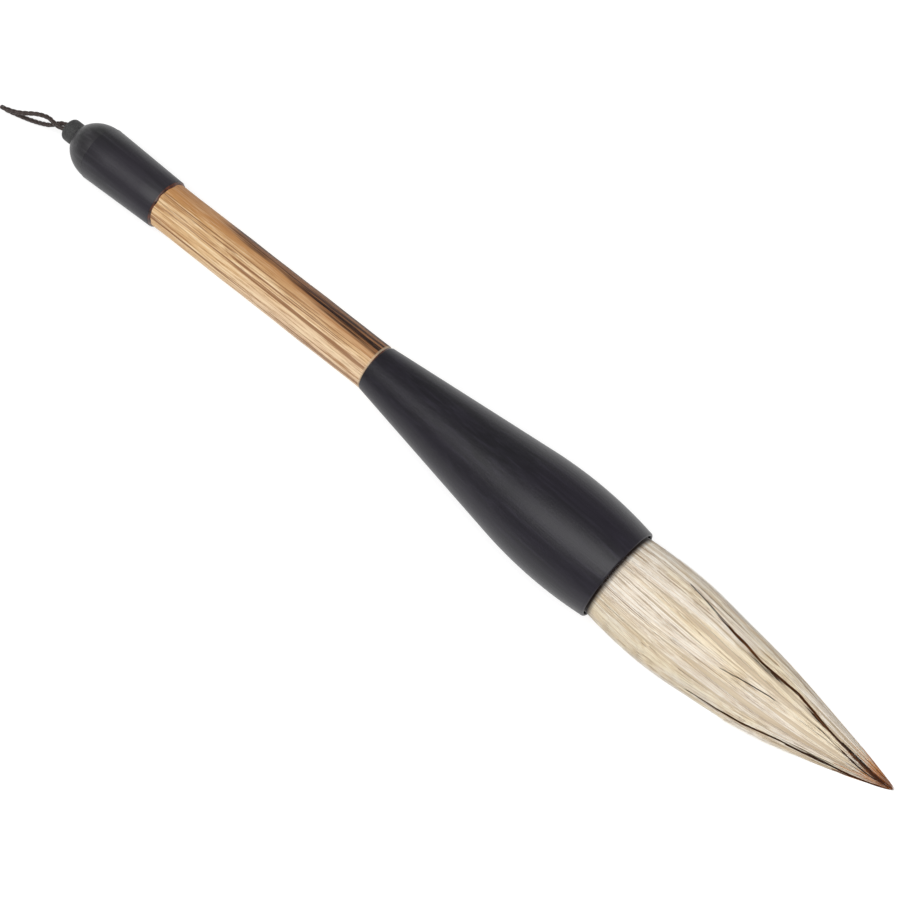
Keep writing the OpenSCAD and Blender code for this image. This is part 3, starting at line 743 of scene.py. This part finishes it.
def single_hair_finish(name, stops, roughness, tip, sheen=0.02, patch=None):
    """Single hairs: each has one tone, with painted shade where it comes out of the cup, and stained
    at its tip. The hair can be dyed by one other colour in patches."""
    hair, shader = new_finish(name, roughness, Sheen_Weight=sheen, Sheen_Roughness=0.4,
                              Specular_IOR_Level=0.1 + 0.5 * sheen)
    tone = add(hair, "Attribute", attribute_name="tone").outputs["Fac"]
    out = add(hair, "Attribute", attribute_name="out").outputs["Fac"]
    fleck = speckle(hair, laid_along(hair, ferrule_place, (60, 260, 260)), 1.0, 3)
    share = sums(hair, "ADD", tone, sums(hair, "MULTIPLY", sums(hair, "SUBTRACT", fleck, 0.5), 0.4))
    colour = shades(hair, share, stops)
    if patch:
        broad = speckle(hair, laid_along(hair, ferrule_place, (28, 150, 150)), 1.0, 3, 0.5, 0.5)
        colour = blended(hair, shades(hair, broad, [(0.44, 0.0), (0.60, 0.8)]), colour,
                         (*patch, 1), "MULTIPLY")
    # Painted shade: the roots are darkened almost to black where the hair comes out of the cup, for
    # the shadow inside the ferrule's rim
    colour = blended(hair, shades(hair, out, [(0.004, 1.0), (0.020, 0.0)]), colour,
                     (0.02, 0.009, 0.005, 1))
    stain = sums(hair, "ADD", out, sums(hair, "MULTIPLY", sums(hair, "SUBTRACT", fleck, 0.5), 0.16))
    colour = blended(hair, shades(hair, stain, [(0.88, 0.0), (0.94, 0.95)]), colour, (*tip, 1))
    hair.links.new(colour, shader.inputs["Base Color"])
    hair.links.new(shades(hair, fleck, [(0.3, roughness - 0.1), (0.7, roughness + 0.12)]),
                   shader.inputs["Roughness"])
    rough_up(hair, shader, fleck, 0.02 * mm)
    return bpy.data.materials[name]


pale = single_hair_finish("pale_goat_hair", [
    (0.0, (0.15, 0.075, 0.035)), (0.10, (0.36, 0.25, 0.15)), (0.28, (0.60, 0.485, 0.355)),
    (0.58, (0.77, 0.67, 0.54)), (0.86, (0.92, 0.87, 0.79))], 0.5, (0.60, 0.25, 0.075),
    sheen=0.45, patch=(1.0, 0.95, 0.80))
for place, first, seed in (("far", -30, 3), ("top", 30, 5), ("middle", 90, 7), ("near", 150, 11),
                           ("low", 210, 13), ("under", 270, 17)):
    pick = np.random.default_rng(seed)
    count = 2900
    roots = np.radians(first + pick.uniform(0, 60, count))
    ends = np.where(pick.random(count) < 0.5, pick.uniform(72, 84.8, count),
                    pick.uniform(35, 78, count))
    tones = 0.54 + 0.05 * np.sin(roots * 19 + 1) + 0.04 * np.sin(roots * 43) \
        + pick.normal(0, 0.24, count)
    thick = pick.random(count) < 0.14
    tones = np.where(thick, np.where(pick.random(count) < 0.34, pick.uniform(0.10, 0.28, count),
                                     pick.uniform(0.75, 1.0, count)), tones)
    widths = np.where(thick, pick.uniform(0.17, 0.23, count), pick.uniform(0.10, 0.18, count))
    hairs = lay_hairs("cover_hair_" + place, roots, ends, pick.uniform(0.0, 0.36, count), widths,
                      np.clip(tones, 0.02, 1), 0.006, seed)
    hairs.data.materials.append(pale)
    bends_with_tuft(hairs, "pale_hair")

# Brown core hairs come to the top in each parting, and at the point they stand clear of the cover
# and are stained rust and black.
brown = single_hair_finish("brown_horse_hair", [
    (0.0, (0.014, 0.006, 0.003)), (0.4, (0.048, 0.018, 0.007)), (0.75, (0.19, 0.072, 0.026)),
    (1.0, (0.30, 0.13, 0.05))], 0.42, (0.07, 0.022, 0.009))


def lay_in_partings(name, seed):
    """Brown hairs that follow the partings from one distance to another."""
    pick, t, laid = np.random.default_rng(seed), hair_points[None, :, 0], []
    for route, width in partings:
        path, count = np.array(route, float), int(width * 170)
        starts = path[0, 0] + (path[-1, 0] - 6 - path[0, 0]) * pick.random((count, 1)) ** 1.3
        ends = np.minimum(starts + pick.uniform(7, 22, (count, 1)), path[-1, 0] + 1.5)
        shift = pick.uniform(-0.55, 0.55, (count, 1)) * width
        phase, deep = pick.uniform(0, 6, (count, 1)), pick.uniform(-0.26, 0.06, (count, 1))

        def line(t):
            s = starts + (ends - starts) * t
            around = np.radians(np.interp(s, path[:, 0], path[:, 1])) \
                + shift * (1 + 0.4 * np.sin(s / 5 + phase)) * np.clip((s - path[0, 0]) / 14, 0.15, 1) \
                / np.maximum(tuft_radius(s), 0.4)
            radius = tuft_radius(s) - deep * np.clip(tuft_radius(s) / 4, 0, 1)
            return hair_places(s, around, np.maximum(radius, 0.03)), s, around

        middle, s, around = line(t)
        laid.append((middle, line(t + 0.01)[0], s, around, pick.uniform(0.06, 0.11, count),
                     pick.uniform(0, 0.75, count)))
    return hair_mesh(name, *(np.concatenate(values) for values in zip(*laid)))


parting_hairs = lay_in_partings("core_hair_in_partings", 61)
parting_hairs.data.materials.append(brown)
bends_with_tuft(parting_hairs, "brown_hair")

pick = np.random.default_rng(77)
tip_count = 260
tip_hairs = lay_hairs("core_hair_at_tip", pick.uniform(0, 2 * np.pi, tip_count),
                      pick.uniform(80, tuft_long, tip_count), pick.uniform(0.0, 0.5, tip_count),
                      pick.uniform(0.12, 0.2, tip_count), pick.uniform(0.1, 1.0, tip_count), 0.02, 78,
                      parting=False, starts=pick.uniform(70, 78, tip_count))
rust = single_hair_finish("rust_tip_hair", [
    (0.0, (0.02, 0.007, 0.003)), (0.35, (0.10, 0.030, 0.010)), (0.60, (0.50, 0.17, 0.035)),
    (1.0, (0.74, 0.36, 0.11))], 0.42, (0.30, 0.095, 0.02))
tip_hairs.data.materials.append(rust)
bends_with_tuft(tip_hairs, "brown_hair")

# A few loose hairs lie across the rest or stand a little off the tuft.
stray_count = 46
pick = np.random.default_rng(90)
stray_starts = pick.uniform(2, 50, stray_count)
stray_hairs = lay_hairs("stray_hairs", np.radians(pick.uniform(0, 360, stray_count)),
                        stray_starts + pick.uniform(12, 26, stray_count),
                        -pick.uniform(0.05, 0.35, stray_count), pick.uniform(0.08, 0.13, stray_count),
                        pick.uniform(0.6, 1.0, stray_count), 0.10, 91, parting=False,
                        starts=stray_starts)
stray_hairs.data.materials.append(pale)
bends_with_tuft(stray_hairs, "pale_hair")

# A plain white table and soft studio light: one broad box overhead, a little to the left of where
# the brush is looked at from, and pale surroundings.
bpy.ops.mesh.primitive_plane_add(size=30.0, location=(0, 0, 0))
table = bpy.context.object
table.name = "table"
white_table, shader = new_finish("white_table", 0.9, Base_Color=(0.45, 0.45, 0.45, 1),
                                 Specular_IOR_Level=0.2, Emission_Color=(1, 1, 1, 1),
                                 Emission_Strength=0.68)
table.data.materials.append(bpy.data.materials["white_table"])
bpy.ops.object.light_add(type="AREA", location=(0.12, -0.26, 1.0))
overhead_box = bpy.context.object
overhead_box.name = "overhead_box"
overhead_box.data.shape, overhead_box.data.energy = "RECTANGLE", 11.5
overhead_box.data.size, overhead_box.data.size_y = 1.6, 0.7
overhead_box.rotation_euler = (-overhead_box.location).to_track_quat("-Z", "Y").to_euler()
pale_room = bpy.data.worlds.new("pale_room")
bpy.context.scene.world = pale_room
pale_room.use_nodes = True
pale_room.node_tree.nodes["Background"].inputs["Color"].default_value = (1, 1, 1, 1)
pale_room.node_tree.nodes["Background"].inputs["Strength"].default_value = 0.36
bpy.context.scene.view_settings.view_transform = "Standard"

bpy.context.view_layer.update()
